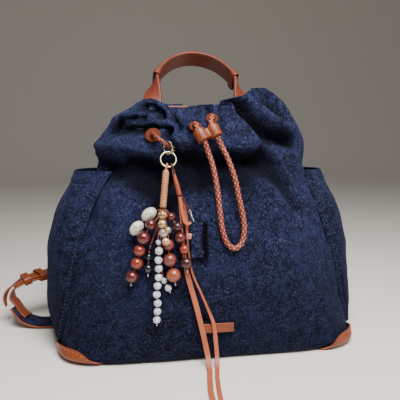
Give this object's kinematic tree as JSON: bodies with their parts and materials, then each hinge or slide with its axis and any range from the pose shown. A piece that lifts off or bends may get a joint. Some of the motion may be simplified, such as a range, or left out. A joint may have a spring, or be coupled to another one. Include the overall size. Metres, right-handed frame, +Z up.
{
  "type": "drawstring backpack",
  "caption": "Gathered drawstring cloth backpack with leather trim, slip pockets, a top handle, shoulder straps and a bead charm.",
  "frame": {"origin": "on the floor, under the middle of the bag's base", "axes": "+X to the bag's left-hand side as worn, which is the right of the front view; +Y towards the back with the straps; +Z up"},
  "size_m": [0.4255, 0.3373, 0.3557],
  "materials": {
    "denim": "coarse flecked weave, matte",
    "cloth_square": "denim with a dark frayed edge",
    "leather": "smooth tan leather, satin",
    "lace": "narrow flat leather, matte",
    "braid": "braided thin leather, satin",
    "metal": "pale, polished",
    "beads_cream": "polished stone",
    "beads_amber": "painted, glossy",
    "beads_brown": "polished",
    "beads_red": "polished",
    "beads_black": "faceted, glossy",
    "beads_white": "veined white stone"
  },
  "bodies": {
    "bag": {"bag_body": "denim", "beads_black": "beads_black", "beads_brown": "beads_brown", "beads_ovals": "beads_cream", "beads_patterned": "beads_amber", "beads_red_left": "beads_red", "beads_red_right": "beads_red", "beads_white_long": "beads_white", "beads_white_short": "beads_white", "charm_sleeve": "leather", "charm_stem": "leather", "clasp": "metal", "cloth_square": "cloth_square", "corner_patch_back_left": "leather", "corner_patch_back_right": "leather", "corner_patch_front_left": "leather", "corner_patch_front_right": "leather", "drawcord": "braid", "eyelet_centre_left": "leather", "eyelet_centre_right": "leather", "eyelet_side": "leather", "handle": "leather", "handle_keeper_left": "leather", "handle_keeper_right": "leather", "handle_stud_left": "leather", "handle_stud_right": "leather", "label_bar": "leather", "lace_narrow": "lace", "lace_thin": "lace", "lace_wide": "lace", "leather_tag": "leather", "ring": "metal", "side_cord": "braid", "side_pocket_left": "denim", "side_pocket_right": "denim", "small_clasp": "metal", "strap_belt_left": "leather", "strap_belt_right": "leather", "strap_end_left": "leather", "strap_end_right": "leather", "strap_keeper_left_lower": "leather", "strap_keeper_left_upper": "leather", "strap_keeper_right_lower": "leather", "strap_keeper_right_upper": "leather", "strap_pad_left": "denim", "strap_pad_right": "denim", "strap_stud_left": "metal", "strap_stud_right": "metal", "strap_tail_left": "leather", "strap_tail_right": "leather", "toggle": "leather", "yoke": "leather"},
    "gate": {"clasp_gate": "metal"}
  },
  "joints": [
    {"name": "clasp_gate_hinge", "type": "hinge", "parent": "bag", "child": "gate", "pos_m": [-0.04246, -0.08974, 0.2157], "axis": [-0.7071, -0.7071, 0], "range_deg": [0, 20], "stiffness_Nm_per_rad": 0.001}
  ]
}
